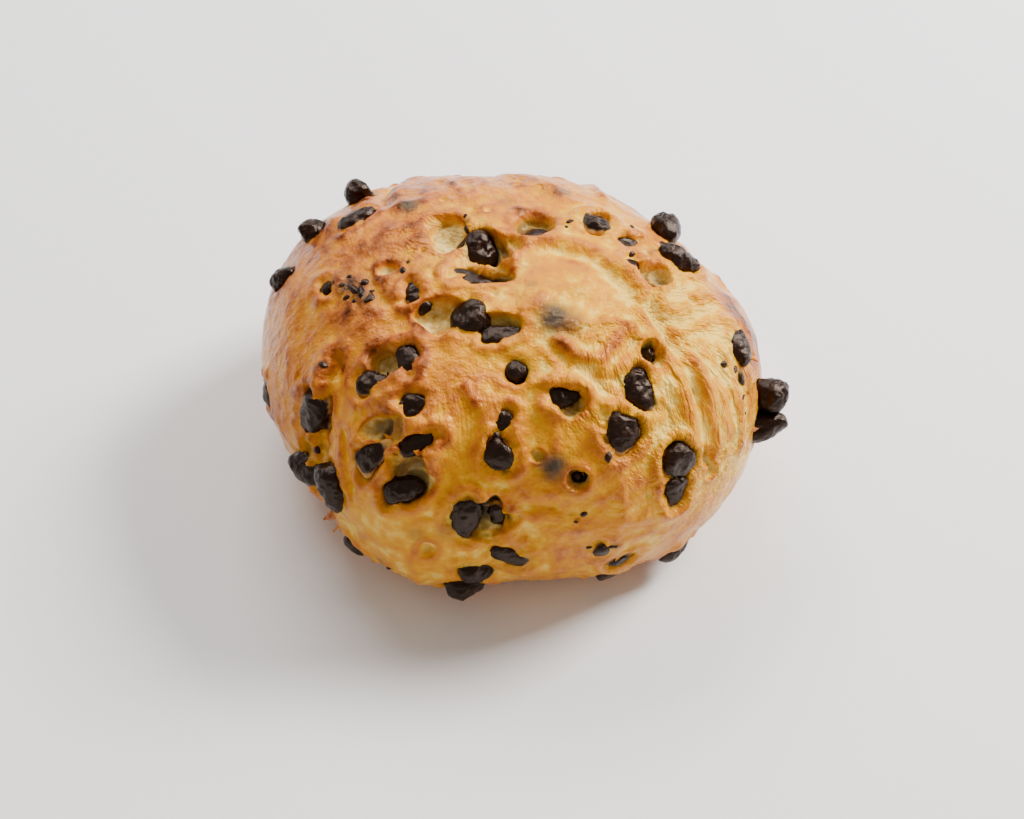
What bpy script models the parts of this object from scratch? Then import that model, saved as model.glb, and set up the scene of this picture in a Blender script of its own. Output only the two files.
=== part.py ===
"""A round chocolate-chip brioche: one hand-folded bun of baked dough, with the chips that show in its crust.

The bun stands on the origin, on its flat underside, with +Z up. A place on the crust is given by its bearing,
in degrees round the bun from the front (-Y) towards the right (+X), and by its lift, in degrees above the
widest line. Lengths in the tables are in millimetres.
"""

import math

import bmesh
import bpy
from mathutils import Matrix, Vector

MM = 0.001

# Driving dimensions
HEIGHT = 66 * MM  # table to crown
GIRTH_HEIGHT = 27 * MM  # height of the widest line
GIRTH_RADII = (52, 57, 61, 62, 56, 54, 56, 62, 65, 61, 56.5, 57.5)  # one each 30 degrees of bearing
ROUNDNESS_ABOVE = 2.25  # 2 is an ellipse, and more is squarer
ROUNDNESS_BELOW = 2.6
FULL_DEPTH = 1.25 * GIRTH_HEIGHT  # how deep the lower half would reach if the table did not flatten it
DOUGH_FINENESS = 5  # subdivisions of the sphere that the bun starts from
CHIP_SIDES = 8
FIT_GAP = 0.5 * MM  # room between a chip and its pocket
LEAST_CLEARANCE = 0.6 * MM  # chips near the table stay this far above it

# Swells and hollows of the folded dough: bearing, lift, reach in degrees, swell
SWELLS = (
    (238, 20, 24, 1.6),
    (342, -14, 20, 2.0),
    (285, 12, 13, 1.2),
    (299, 12, 8, -2.6),
    (326, 24, 16, 1.0),
    (50, 60, 22, 1.2),
    (300, 82, 9, -1.5),
    (74, 44, 9, -1.6),
    (84, 30, 14, 0.8),
    (150, 35, 26, 1.0),
    (182, 22, 12, -1.2),
)

# Air holes and torn folds: bearing, lift, length, width, depth, turn of the length from north to east
HOLES = (
    (230, 62, 14.5, 10.0, 4.0, 50),
    (218, 75, 15.0, 9.0, 7.0, 12),
    (300, 82, 12.5, 5.2, 5.0, 30),
    (306, 61, 14.0, 9.0, 4.2, 36),
    (350, 65.5, 12.0, 7.0, 4.2, 81),
    (308, 40, 9.5, 6.5, 4.6, 80),
    (307.5, 35.5, 6.0, 5.0, 3.2, 60),
    (160, 69.5, 9.0, 7.4, 5.6, 340),
    (134, 50, 6.5, 4.6, 3.0, 40),
    (98, 51, 4.8, 4.2, 3.4, 0),
    (94, 44, 6.5, 5.5, 4.0, 20),
    (264, 50, 6.6, 4.4, 2.6, 0),
    (57, 41, 7.0, 5.0, 4.6, 70),
    (21, 39.5, 7.6, 6.4, 4.2, 30),
    (2.5, 50, 6.0, 5.6, 4.4, 0),
    (17.5, 21, 6.0, 5.8, 4.4, 0),
    (319, 27, 9.0, 5.2, 3.8, 40),
    (335, 19, 11.0, 9.0, 4.6, 60),
    (352, 9.5, 11.5, 10.5, 5.6, 110),
    (52, 12, 8.0, 3.0, 2.4, 350),
    (339.5, -1, 4.0, 3.0, 2.0, 70),
    (80, 21, 8.5, 8.0, 3.0, 20),
    (7, 28, 3.2, 3.0, 1.8, 0),
    (192, 25, 9.0, 5.0, 4.0, 60),
    (148, 14, 6.0, 5.0, 3.4, 20),
    (222, 2, 7.0, 4.0, 3.0, 80),
)

# Chips: bearing, lift, width, length base to tip, depth of the middle below the crust,
# lean of the tip from straight out, and the turn of that lean from north to east
CHIPS = (
    # left and upper left
    (224, 23, 7.0, 7.5, -1.6, 60, 200),
    (237, 34.5, 5.8, 8.4, 0.9, 84, 300),
    (241, 22, 6.2, 6.6, -0.4, 40, 90),
    (254, 18, 6.0, 6.8, 0.2, 88, 0),
    (266.5, 33.5, 4.2, 4.6, 1.5, 30, 0),
    (277, 3, 6.0, 6.0, 1.4, 90, 0),
    # crown
    (220, 71.5, 9.2, 8.0, 3.6, 20, 230),
    (285, 77, 4.8, 8.2, 2.8, 88, 30),
    (282, 57, 4.4, 5.4, 1.6, 60, 280),
    (327, 66.5, 8.8, 7.6, 3.0, 145, 60),
    (354, 63.5, 5.0, 8.4, 2.1, 88, 77),
    (158, 71, 6.0, 6.6, 4.2, 88, 70),
    (2.5, 51.5, 5.0, 5.0, 2.4, 0, 0),
    # upper right
    (131, 54, 7.0, 6.6, 1.9, 150, 0),
    (116, 47.5, 4.4, 5.8, 1.7, 86, 176),
    (99, 51.5, 4.0, 4.0, 2.0, 0, 0),
    (121, 32, 7.6, 8.2, -1.1, 84, 300),
    (105, 35.8, 8.4, 9.0, 0.3, 78, 204),
    (58, 40.5, 4.6, 4.6, 2.6, 20, 0),
    (44, 35, 7.6, 9.2, 2.1, 88, 194),
    # right side
    (80, 21.5, 6.4, 7.6, 1.5, 60, 250),
    (78, 8, 7.6, 8.0, -1.4, 150, 0),
    (75, 1.5, 7.4, 9.6, -1.5, 22, 20),
    (45, 17, 8.0, 7.4, 1.9, 150, 30),
    (41.5, 8.5, 5.2, 6.0, 1.9, 88, 200),
    (32, 28, 8.0, 9.2, 1.9, 110, 218),
    # front
    (19.5, 42, 5.0, 6.2, 1.8, 88, 100),
    (357, 36.5, 4.2, 4.8, 1.6, 30, 0),
    (356, 29, 6.6, 7.0, 1.9, 150, 0),
    (17.5, 21, 5.0, 5.0, 2.8, 0, 0),
    (348.5, 10, 6.9, 10.2, 1.8, 88, 180),
    (356.5, 9.5, 3.8, 7.0, 2.9, 88, 160),
    (0, -3, 6.0, 9.2, 1.6, 88, 125),
    (351.5, -8.5, 6.0, 7.0, 1.6, 88, 100),
    (348, -17, 6.0, 8.0, 0.6, 88, 90),
    (22, -3, 5.0, 6.0, 1.9, 30, 0),
    (28.5, -10, 4.6, 7.0, 1.8, 88, 65),
    (27, -20, 5.0, 6.0, 0.5, 88, 90),
    (46, -19, 6.0, 7.4, -0.5, 88, 90),
    # lower left
    (314.5, 44.5, 4.8, 7.2, 1.7, 88, 124),
    (310, 35, 4.8, 6.2, 2.2, 88, 50),
    (327, 35, 5.6, 6.2, 2.3, 88, 174),
    (333.5, 29, 4.8, 8.8, 2.1, 88, 48),
    (322.5, 21.5, 6.2, 8.6, 1.9, 95, 35),
    (333, 16, 6.2, 8.4, 2.7, 88, 58),
    (297.5, 14.5, 7.6, 9.2, 1.3, 88, 180),
    (300, 0, 7.0, 7.2, -0.2, 60, 270),
    (312, 3.5, 8.0, 10.4, 0.4, 88, 155),
    (318, -14, 5.6, 6.0, 0.3, 88, 90),
    # back
    (167, 22, 7.6, 8.4, 1.2, 88, 60),
    (188, 12, 8.0, 8.2, 0.8, 150, 40),
    (207, 14, 6.0, 7.4, 1.2, 88, 330),
    (192, 25, 5.2, 5.6, 2.8, 20, 0),
    (212, 0, 7.4, 8.6, 0.4, 80, 110),
    (170, -8, 6.4, 7.6, 1.0, 88, 200),
    (147, 12, 7.0, 8.0, 1.4, 120, 20),
    (128, 2, 7.6, 7.8, -0.4, 40, 250),
    (107, 12, 6.0, 7.4, 0.9, 88, 30),
    (238, -10, 6.4, 7.0, 0.8, 88, 80),
)

CRUST_COLOUR = (0.69, 0.36, 0.10, 1)
CHOCOLATE_COLOUR = (0.030, 0.014, 0.012, 1)


def girth_radius(bearing):
    """The bun's radius at its widest line: a smooth closed curve through GIRTH_RADII."""
    spacing = 360 / len(GIRTH_RADII)
    place = (bearing % 360) / spacing
    first = int(place)
    along = place - first
    before, start, end, after = (
        GIRTH_RADII[(first + step) % len(GIRTH_RADII)] * MM for step in (-1, 0, 1, 2)
    )
    bend = -before + 3 * start - 3 * end + after
    curve = 2 * before - 5 * start + 4 * end - after
    return 0.5 * (2 * start + (end - before) * along + curve * along**2 + bend * along**3)


def heading(bearing, lift):
    """The unit vector from the middle of the bun towards a place on its crust."""
    b, l = math.radians(bearing), math.radians(lift)
    return Vector((math.sin(b) * math.cos(l), -math.cos(b) * math.cos(l), math.sin(l)))


def crust_radius(direction):
    """The distance from the middle of the bun to its crust along a unit vector."""
    level = math.hypot(direction.x, direction.y)
    bearing = math.degrees(math.atan2(direction.x, -direction.y))
    rising = direction.z > 0
    reach = HEIGHT - GIRTH_HEIGHT if rising else FULL_DEPTH
    roundness = ROUNDNESS_ABOVE if rising else ROUNDNESS_BELOW
    radius = (
        (level / girth_radius(bearing)) ** roundness + (abs(direction.z) / reach) ** roundness
    ) ** (-1 / roundness)
    for swell_bearing, swell_lift, spread, swell in SWELLS:
        away = math.degrees(direction.angle(heading(swell_bearing, swell_lift), 0))
        radius += swell * MM * math.exp(-((away / spread) ** 2))
    return radius


def crust_point(bearing, lift):
    direction = heading(bearing, lift)
    return direction * crust_radius(direction) + Vector((0, 0, GIRTH_HEIGHT))


def crust_frame(bearing, lift):
    """Unit vectors east, north and straight out of the crust at a place on it."""
    step = 1.5
    north = crust_point(bearing, lift + step) - crust_point(bearing, lift - step)
    east = crust_point(bearing + step, lift) - crust_point(bearing - step, lift)
    out = east.cross(north).normalized()
    north.normalize()
    return north.cross(out), north, out


def principled(name, colour, roughness):
    material = bpy.data.materials.new(name)
    material.use_nodes = True
    shader = material.node_tree.nodes["Principled BSDF"]
    shader.inputs["Base Color"].default_value = colour
    shader.inputs["Roughness"].default_value = roughness
    shader.inputs["Metallic"].default_value = 0
    return material


def add_mesh_object(name, form, collection, material=None):
    """A new object in a collection, from a bmesh, which is freed."""
    mesh = bpy.data.meshes.new(name)
    form.to_mesh(mesh)
    form.free()
    mesh.shade_smooth()
    if material:
        mesh.materials.append(material)
    placed = bpy.data.objects.new(name, mesh)
    collection.objects.link(placed)
    return placed


def as_cutter(cutter):
    cutter.hide_render = True
    cutter.display_type = "WIRE"


def make_dough(collection, material):
    """A fine sphere moved out to the crust, and cut flat where it rests on the table."""
    form = bmesh.new()
    bmesh.ops.create_icosphere(form, subdivisions=DOUGH_FINENESS, radius=1)
    for point in form.verts:
        direction = point.co.normalized()
        point.co = direction * crust_radius(direction) + Vector((0, 0, GIRTH_HEIGHT))
    everything = form.verts[:] + form.edges[:] + form.faces[:]
    bmesh.ops.bisect_plane(form, geom=everything, plane_no=(0, 0, 1), clear_inner=True)
    rim = [edge for edge in form.edges if edge.is_boundary]
    bmesh.ops.contextual_create(form, geom=rim)
    return add_mesh_object("dough", form, collection, material)


def make_hole(bearing, lift, length, width, depth, turn, collection):
    """An ellipsoid cutter sunk in the crust, so that it leaves an open hole of this depth."""
    east, north, out = crust_frame(bearing, lift)
    along = Matrix.Rotation(math.radians(-turn), 3, out) @ north
    form = bmesh.new()
    bmesh.ops.create_icosphere(form, subdivisions=2, radius=1)
    hole = add_mesh_object("hole", form, collection)
    across = along.cross(out)
    mouth = 0.22  # how far the ellipsoid's middle lies under the crust, as a part of its depth
    half_depth = depth / (1 + mouth)
    middle = crust_point(bearing, lift) - out * mouth * half_depth * MM
    sizes = Matrix.Diagonal((width / 2 * MM, length / 2 * MM, half_depth * MM, 1))
    axes = Matrix((across, along, out)).transposed().to_4x4()
    hole.matrix_world = Matrix.Translation(middle) @ axes @ sizes
    as_cutter(hole)


def make_drop_profile():
    """Half the outline of a chocolate drop one unit wide and one long, from its tip down its outer side."""
    outline = ((0, 0.5), (0.22, 0.41), (0.42, 0.12), (0.5, -0.2), (0.38, -0.5), (0, -0.5))
    mesh = bpy.data.meshes.new("drop_outline")
    steps = [(i, i + 1) for i in range(len(outline) - 1)]
    mesh.from_pydata([(x, 0, z) for x, z in outline], steps, [])
    return mesh


def make_drop(name, outline, matrix, collection):
    drop = bpy.data.objects.new(name, outline)
    collection.objects.link(drop)
    turning = drop.modifiers.new("turned", "SCREW")
    turning.steps = turning.render_steps = CHIP_SIDES
    turning.use_merge_vertices = True
    turning.merge_threshold = 0.0001
    turning.use_smooth_shade = True
    drop.matrix_world = matrix
    return drop


def drop_matrix(bearing, lift, width, length, sink, lean, turn, spare=0.0):
    """Where a chip of this size lies, with its sides moved out by spare."""
    east, north, out = crust_frame(bearing, lift)
    leaning = math.radians(lean)
    towards = Matrix.Rotation(math.radians(-turn), 3, out) @ north
    tip = out * math.cos(leaning) + towards * math.sin(leaning)
    side = towards.cross(out).normalized()
    middle = crust_point(bearing, lift) - out * sink * MM
    reach_down = width / 2 * MM * math.hypot(tip.x, tip.y) + length / 2 * MM * abs(tip.z)
    middle.z = max(middle.z, reach_down + LEAST_CLEARANCE)
    axes = Matrix((side, tip.cross(side), tip)).transposed().to_4x4()
    across = width * MM + 2 * spare
    tall = length * MM + 2 * spare
    return Matrix.Translation(middle) @ axes @ Matrix.Diagonal((across, across, tall, 1))


def main():
    for old in list(bpy.data.objects):
        bpy.data.objects.remove(old, do_unlink=True)
    brioche = bpy.data.collections.new("brioche")
    cutters = bpy.data.collections.new("cutters")
    for collection in (brioche, cutters):
        bpy.context.scene.collection.children.link(collection)
    crust = principled("crust", CRUST_COLOUR, 0.38)
    chocolate = principled("chocolate", CHOCOLATE_COLOUR, 0.42)

    dough = make_dough(brioche, crust)
    for hole in HOLES:
        make_hole(*hole, cutters)
    outline = make_drop_profile()
    outline.materials.append(chocolate)
    for number, chip in enumerate(CHIPS, start=1):
        make_drop(f"chocolate_chip_{number:02d}", outline, drop_matrix(*chip), brioche)
        pocket = make_drop("pocket", outline, drop_matrix(*chip, spare=FIT_GAP), cutters)
        as_cutter(pocket)

    cut = dough.modifiers.new("holes_and_pockets", "BOOLEAN")
    cut.operation = "DIFFERENCE"
    cut.operand_type = "COLLECTION"
    cut.collection = cutters


main()
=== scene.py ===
"""A chocolate-chip brioche: one glossy, hand-folded bun with the chips that show in its crust."""

import itertools
import math

import bmesh
import bpy
import numpy as np
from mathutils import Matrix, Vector
from mathutils.bvhtree import BVHTree


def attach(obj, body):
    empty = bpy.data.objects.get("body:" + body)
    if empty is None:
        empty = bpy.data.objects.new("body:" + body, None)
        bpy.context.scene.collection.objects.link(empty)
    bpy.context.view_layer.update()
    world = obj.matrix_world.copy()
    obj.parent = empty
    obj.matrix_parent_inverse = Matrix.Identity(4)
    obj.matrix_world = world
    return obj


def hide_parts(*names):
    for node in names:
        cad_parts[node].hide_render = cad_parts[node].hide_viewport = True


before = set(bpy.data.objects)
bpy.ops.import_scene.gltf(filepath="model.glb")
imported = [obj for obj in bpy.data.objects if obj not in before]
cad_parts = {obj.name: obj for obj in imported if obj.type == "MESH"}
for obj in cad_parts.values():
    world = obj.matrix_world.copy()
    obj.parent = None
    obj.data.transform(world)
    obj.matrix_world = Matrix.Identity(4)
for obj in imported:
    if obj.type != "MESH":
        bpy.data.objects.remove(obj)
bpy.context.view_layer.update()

# ---------------------------------------------------------------------------------------------------------
# The bun as it was shaped, before the oven tore any hole in it. A baker rounds the dough by hand. Its even
# outer form, the CAD dough with its holes closed, is what the crust and the chips are measured from.

MM = 0.001
CLOSING = 7 * MM  # holes up to twice this wide are closed
SHAPED_GRAIN = 1.5 * MM
MIDDLE = np.array([0, 0, 27.0])  # the point in mm that bearings and lifts are taken from


def remade(mesh, name, *steps):
    """A new mesh: this one with modifiers on it, each a type and its settings."""
    holder = bpy.data.objects.new(name, mesh.copy())
    bpy.context.scene.collection.objects.link(holder)
    for kind, settings in steps:
        modifier = holder.modifiers.new(kind.lower(), kind)
        for setting, value in settings.items():
            setattr(modifier, setting, value)
    graph = bpy.context.evaluated_depsgraph_get()
    made = bpy.data.meshes.new_from_object(holder.evaluated_get(graph))
    made.name = name
    bpy.data.objects.remove(holder)
    return made


def voxels(size):
    return "REMESH", {"mode": "VOXEL", "voxel_size": size, "use_smooth_shade": True}


def evened(times, factor=0.5):
    return "SMOOTH", {"factor": factor, "iterations": times}


def moved_out(distance):
    return "DISPLACE", {"strength": distance, "mid_level": 0, "direction": "NORMAL"}


def points_of(mesh):
    """The mesh's points in mm."""
    flat = np.empty(len(mesh.vertices) * 3, np.float32)
    mesh.vertices.foreach_get("co", flat)
    return flat.reshape(-1, 3).astype(float) / MM


def move_points(mesh, places):
    mesh.vertices.foreach_set("co", (places * MM).astype(np.float32).ravel())
    mesh.update()


def normals_of(mesh):
    flat = np.empty(len(mesh.vertices) * 3, np.float32)
    mesh.vertex_normals.foreach_get("vector", flat)
    return flat.reshape(-1, 3).astype(float)


def tree_of(mesh):
    """A search tree of a mesh's faces, in mm."""
    places = points_of(mesh)
    return BVHTree.FromPolygons([Vector(p) for p in places], [tuple(f.vertices) for f in mesh.polygons])


def nearest_on(tree, places):
    """For each point, the nearest place on the tree, its normal, the distance, and the face's number."""
    found = [tree.find_nearest(Vector(p)) for p in places]
    there = np.array([f[0] for f in found])
    normal = np.array([f[1] for f in found])
    return there, normal, np.array([f[3] for f in found]), np.array([f[2] for f in found])


shaped = remade(
    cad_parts["dough"].data, "shaped",
    voxels(SHAPED_GRAIN), moved_out(CLOSING),
    voxels(SHAPED_GRAIN), evened(8), moved_out(-CLOSING), evened(4),
)
shaped_tree = tree_of(shaped)


def below_skin(places):
    """How far each point lies under the shaped bun's skin, in mm, and the skin's outward direction."""
    there, normal, _, _ = nearest_on(shaped_tree, places)
    return ((there - places) * normal).sum(1), normal


def skin_point(bearing, lift):
    """The place in mm on the shaped bun at a bearing (0 front, 90 right) and a lift over its middle."""
    b, l = math.radians(bearing), math.radians(lift)
    direction = Vector((math.sin(b) * math.cos(l), -math.cos(b) * math.cos(l), math.sin(l)))
    return np.array(shaped_tree.ray_cast(Vector(MIDDLE), direction)[0])


def cloud(places, grain, seed=0):
    """Smooth random values from -1 to 1 that change over this many mm."""
    spot = places / grain + 31.7 * seed
    cell = np.floor(spot).astype(np.int64)
    part = spot - cell
    part = part * part * (3 - 2 * part)
    total = np.zeros(len(places))
    for corner in itertools.product((0, 1), repeat=3):
        x, y, z = (cell + np.array(corner)).T
        mixed = (x * 73856093) ^ (y * 19349663) ^ (z * 83492791)
        mixed = ((mixed ^ (mixed >> 13)) * 1274126177) & 0x7FFFFFFF
        share = np.prod(np.where(np.array(corner) == 1, part, 1 - part), axis=1)
        total += share * (mixed / 2**30 - 1)
    return total


def ease(values, low, high):
    """0 below low, 1 above high, and a smooth step between."""
    t = np.clip((values - low) / (high - low), 0, 1)
    return t * t * (3 - 2 * t)


# ---------------------------------------------------------------------------------------------------------
# The chocolate chips. Dark baking drops, dripped from molten chocolate on a cold belt, that were kneaded
# into the dough. The oven has softened each one: its point has slumped, and its skin is crinkled and dull.

CHIP_GRAIN = 0.3 * MM
ROUNDING = (  # what turns the flat-sided CAD chip into a rounded drop
    ("WELD", {"merge_threshold": 0.00002}),
    ("DECIMATE", {"decimate_type": "DISSOLVE", "angle_limit": math.radians(1)}),
    ("SUBSURF", {"levels": 3, "render_levels": 3}),
)
# By chip number: how far its surface slumped in and out as it melted (mm)
MELTED = {
    11: 0.9, 18: 1.2, 28: 1, 29: 0.9, 32: 1.2, 33: 0.8, 36: 0.8, 40: 0.9, 41: 1.1, 44: 1.1, 46: 1.5,
}
MELTED_USUAL = 0.55
# How much larger a chip is than its CAD drop
SWELLING = {
    2: 1.18, 7: 1.18, 8: 1.5, 10: 1.15, 11: 1.15, 12: 1.4, 13: 1.3, 14: 1.3, 16: 1.4, 18: 1.1, 19: 0.85,
    20: 1.2, 21: 1.35, 22: 1.15, 23: 1.25, 24: 1.14, 25: 1.3, 26: 1.18, 27: 1.25, 28: 1.35, 30: 0.9,
    33: 1.18, 34: 1.2, 35: 1.2, 40: 1.3, 41: 1.4, 42: 1.25, 43: 1.18, 44: 1.2, 46: 1.35, 47: 1.3,
    48: 1.18,
}
SWELLING_USUAL = 1.12
# The share of its height above the crust that a chip kept as it softened
HEIGHT_KEPT = {
    1: 1, 2: 0.8, 3: 1, 4: 0.9, 6: 0.9, 7: 1, 10: 0.9, 14: 0.8, 17: 1, 18: 1, 20: 0.7, 21: 1, 22: 1,
    23: 1, 24: 0.75, 26: 0.65, 29: 0.7, 31: 0.7, 33: 1.1, 34: 1.4, 35: 1.3, 36: 0.9, 37: 0.9, 38: 0.9,
    39: 1, 41: 0.8, 45: 0.7, 46: 0.8, 47: 1, 48: 0.9, 49: 1, 57: 1,
}
HEIGHT_USUAL = 0.5
# How far above the crust line the film of dough climbs up a chip (mm); below 0 there is none
FILM_HEIGHT = {
    7: -9, 8: -9, 10: -9, 11: -9, 12: -9, 13: -9, 14: 2.4, 16: -9, 17: -9, 19: -9, 20: 0.8, 21: 0.8,
    22: -9, 23: -9, 26: 2.2, 27: -9, 29: 0.8, 31: -9, 33: 0.9, 34: 1.1, 35: 0.9, 36: 1.3, 37: 1.6,
    38: 1.4, 41: 0.9, 43: 0.7, 44: 1.8, 45: -9, 46: 0.6,
}
FILM_USUAL = 0.25
SLUMP_SHARE = 0.75  # the share of MELTED that shows
SLUMP_WIDTH = 3.4  # mm from one bulge to the next
CRINKLES = ((0.55, 2.4), (0.28, 1.1))  # depth and width of the skin's crinkles (mm)
CRINKLE_TOP = 0.12  # how far the skin between them stands out (mm)
CHIP_CLEARANCE = 0.15  # how far every chip stays above the table (mm)

chocolate = bpy.data.materials.new("baked_chocolate")


def add_node(tree, kind, place, **settings):
    """A new node with its inputs and its own settings given by name."""
    node = tree.nodes.new(kind)
    node.location = place
    for name, value in settings.items():
        if name in node.inputs:
            node.inputs[name].default_value = value
        else:
            setattr(node, name, value)
    return node


def join(tree, *pairs):
    """Links sockets given as (node, output name, node, input name or number)."""
    for source, output, target, entry in pairs:
        tree.links.new(source.outputs[output], target.inputs[entry])


def fill_ramp(ramp, *stops):
    """Sets a colour ramp's stops: (place, colour) each."""
    band = ramp.color_ramp
    while len(band.elements) > 1:
        band.elements.remove(band.elements[-1])
    band.elements[0].position = stops[0][0]
    band.elements[0].color = (*stops[0][1], 1)
    for place, colour in stops[1:]:
        band.elements.new(place).color = (*colour, 1)


def make_chocolate(material):
    """Dark chocolate with a soft gloss, a dull bloom in patches, and dough smeared over its edge."""
    material.use_nodes = True
    tree = material.node_tree
    shader = tree.nodes["Principled BSDF"]
    place = add_node(tree, "ShaderNodeTexCoord", (-1300, 0))
    bloom = add_node(tree, "ShaderNodeTexNoise", (-1050, 300), Scale=420.0, Detail=5.0, Roughness=0.62)
    body = add_node(tree, "ShaderNodeValToRGB", (-820, 300))
    fill_ramp(
        body, (0.36, (0.004, 0.0013, 0.0008)), (0.60, (0.010, 0.0034, 0.0022)),
        (0.76, (0.028, 0.011, 0.008)),
    )
    film = add_node(tree, "ShaderNodeAttribute", (-1050, 0), attribute_name="film")
    film_colour = add_node(tree, "ShaderNodeValToRGB", (-820, 0))
    fill_ramp(
        film_colour, (0.0, (0.028, 0.014, 0.011)), (0.4, (0.085, 0.050, 0.032)),
        (0.7, (0.24, 0.135, 0.055)), (1.0, (0.47, 0.23, 0.045)),
    )
    cover = add_node(tree, "ShaderNodeMapRange", (-820, -220), **{"From Min": 0.04, "From Max": 0.5})
    mixed = add_node(tree, "ShaderNodeMix", (-500, 200), data_type="RGBA")
    dull = add_node(tree, "ShaderNodeMapRange", (-500, -60), **{"To Min": 0.12, "To Max": 0.34})
    crinkle = add_node(tree, "ShaderNodeTexNoise", (-1050, -400), Scale=700.0, Detail=6.0, Roughness=0.65)
    scuff = add_node(tree, "ShaderNodeBump", (-500, -400), Strength=0.9, Distance=0.0003)
    join(
        tree,
        (place, "Object", bloom, "Vector"),
        (place, "Object", crinkle, "Vector"),
        (bloom, "Fac", body, "Fac"),
        (film, "Fac", film_colour, "Fac"),
        (film, "Fac", cover, "Value"),
        (cover, "Result", mixed, "Factor"),
        (bloom, "Fac", dull, "Value"),
        (dull, "Result", shader, "Roughness"),
        (crinkle, "Fac", scuff, "Height"),
        (scuff, "Normal", shader, "Normal"),
        (body, "Color", mixed, "A"),
        (film_colour, "Color", mixed, "B"),
        (mixed, "Result", shader, "Base Color"),
    )
    shader.inputs["Specular IOR Level"].default_value = 0.28
    shader.inputs["Specular Tint"].default_value = (1.0, 0.74, 0.58, 1)


def set_attribute(mesh, name, values):
    mesh.attributes.new(name, "FLOAT", "POINT").data.foreach_set("value", values.astype(np.float32))


def add_piece(name, mesh, material, slot, *nodes):
    """A visible piece of the bun: it rides on the one body, and stands for the CAD nodes given."""
    mesh.shade_smooth()
    mesh.materials.clear()
    mesh.materials.append(material)
    piece = bpy.data.objects.new(name, mesh)
    bpy.context.scene.collection.objects.link(piece)
    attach(piece, "root")
    if nodes:
        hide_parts(*nodes)
    return piece


make_chocolate(chocolate)
chip_nodes = sorted(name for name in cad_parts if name.startswith("chocolate_chip"))
chip_meshes = []
for number, name in enumerate(chip_nodes, start=1):
    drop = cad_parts[name].data
    chip = remade(drop, name + "_baked", *ROUNDING, voxels(CHIP_GRAIN), evened(2))
    places, outward = points_of(chip), normals_of(chip)
    lowest, highest = points_of(drop).min(0), points_of(drop).max(0)
    centre = (lowest + highest) / 2
    grown = SWELLING.get(number, SWELLING_USUAL) * np.max((highest - lowest) / np.ptp(places, axis=0))
    places = centre + (places - (places.min(0) + places.max(0)) / 2) * grown
    slump = SLUMP_SHARE * MELTED.get(number, MELTED_USUAL) * cloud(places, SLUMP_WIDTH, number)
    places += outward * slump[:, None]
    deep, skin_out = below_skin(places)
    settled = np.where(deep < 0, -deep * HEIGHT_KEPT.get(number, HEIGHT_USUAL), -deep)
    places += skin_out * (settled + deep)[:, None]
    move_points(chip, places)
    outward = normals_of(chip)
    (deep_fold, fold_width), (light_fold, light_width) = CRINKLES
    crinkles = deep_fold * np.abs(cloud(places, fold_width, number + 60))
    crinkles += light_fold * np.abs(cloud(places, light_width, number + 120))
    places += outward * (CRINKLE_TOP - crinkles)[:, None]
    places[:, 2] = np.maximum(places[:, 2], CHIP_CLEARANCE)
    move_points(chip, places)
    deep = -settled
    climb = FILM_HEIGHT.get(number, FILM_USUAL)
    ragged = 0.9 * cloud(places, 2.1, number + 7) + 0.4 * cloud(places, 0.7, number + 70)
    axis = skin_out.mean(0) / np.linalg.norm(skin_out.mean(0))
    from_axis = places - centre
    from_axis -= (from_axis @ axis)[:, None] * axis
    spread = np.linalg.norm(from_axis, axis=1)
    to_edge = ease(spread / np.percentile(spread, 97), 0.45, 1.0)
    set_attribute(chip, "film", ease(deep + climb + ragged - 1.5 * (1 - to_edge), -0.2, 1.3))
    add_piece(name + "_baked", chip, chocolate, "chocolate", name)
    chip_meshes.append(chip)

# ---------------------------------------------------------------------------------------------------------
# The baked dough. One piece of egg-washed brioche, folded by hand over the chips. In the oven its skin
# stretched, wrinkled and tore open over the air in it, and browned wherever it stood proud.

CRUST_GRAIN = 0.62 * MM
CHIP_FIT = 0.04  # mm between the dough and a chip
# How high the dough stands up round a chip, by its number (mm)
COLLARS = {
    1: 0.2, 3: 0.2, 4: 0.3, 7: 0, 10: 0.4, 12: 0, 13: 0.4, 17: 0.2, 21: 0.4, 22: 0.2, 23: 0.2, 33: 0.6,
    34: 0.5, 35: 0.5, 47: 0.3, 48: 0.4, 57: 0.2,
}
COLLAR_USUAL = 1.15

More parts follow.
